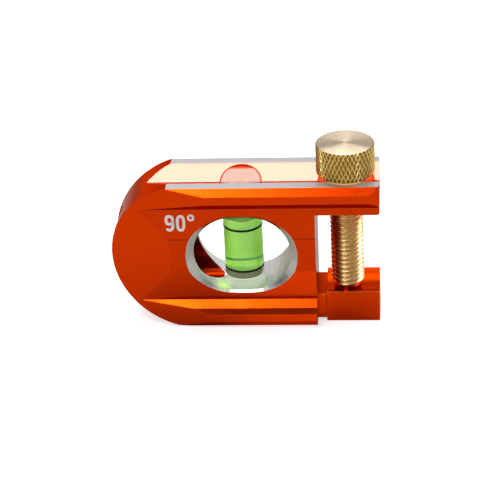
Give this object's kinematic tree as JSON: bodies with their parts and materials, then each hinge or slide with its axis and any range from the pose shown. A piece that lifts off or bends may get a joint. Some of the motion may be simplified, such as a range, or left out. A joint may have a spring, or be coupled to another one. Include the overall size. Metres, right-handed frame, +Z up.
{
  "type": "conduit bending level",
  "caption": "Pocket level for conduit bending: a machined block with a V groove, an upright bubble vial in a through window, and a knurled thumbscrew clamp.",
  "frame": {"origin": "under the middle of the body, on the surface that it stands on", "axes": "+X along the body towards the clamp, +Y through the window away from the front face, +Z up towards the V groove"},
  "size_m": [0.08, 0.024, 0.056],
  "materials": {
    "anodised_body": "orange anodised, satin",
    "brass": "turned, bright",
    "acrylic": "clear",
    "liquid": "yellow-green, clear",
    "bubble": "clear",
    "ink": "printed line",
    "resin": "smooth"
  },
  "bodies": {
    "level": {"level_body": "anodised_body", "bore_plug": "resin", "vial_barrel": "acrylic", "vial_plug": "acrylic", "vial_liquid": "liquid", "vial_ring_upper": "ink", "vial_ring_lower": "ink"},
    "bubble": {"vial_bubble": "bubble"},
    "screw_carrier": {"screw_tip": "brass"},
    "screw": {"thumb_screw": "brass"}
  },
  "joints": [
    {"name": "bubble_travel", "type": "slide", "parent": "level", "child": "bubble", "axis": [0, 0, 1], "range_m": [-0.0145, 0], "stiffness_N_per_m": 1, "springref_m": 0.01},
    {"name": "screw_travel", "type": "slide", "parent": "level", "child": "screw_carrier", "axis": [0, 0, 1], "range_m": [0, 0.027]},
    {"name": "screw_turn", "type": "hinge", "parent": "screw_carrier", "child": "screw", "pos_m": [0.03005, 0, 0.0464], "axis": [0, 0, 1], "range_deg": [0, 6480]}
  ],
  "couplings": [
    {"joint": "screw_turn", "follows": "screw_travel", "rad_per_m": 4188.8}
  ]
}
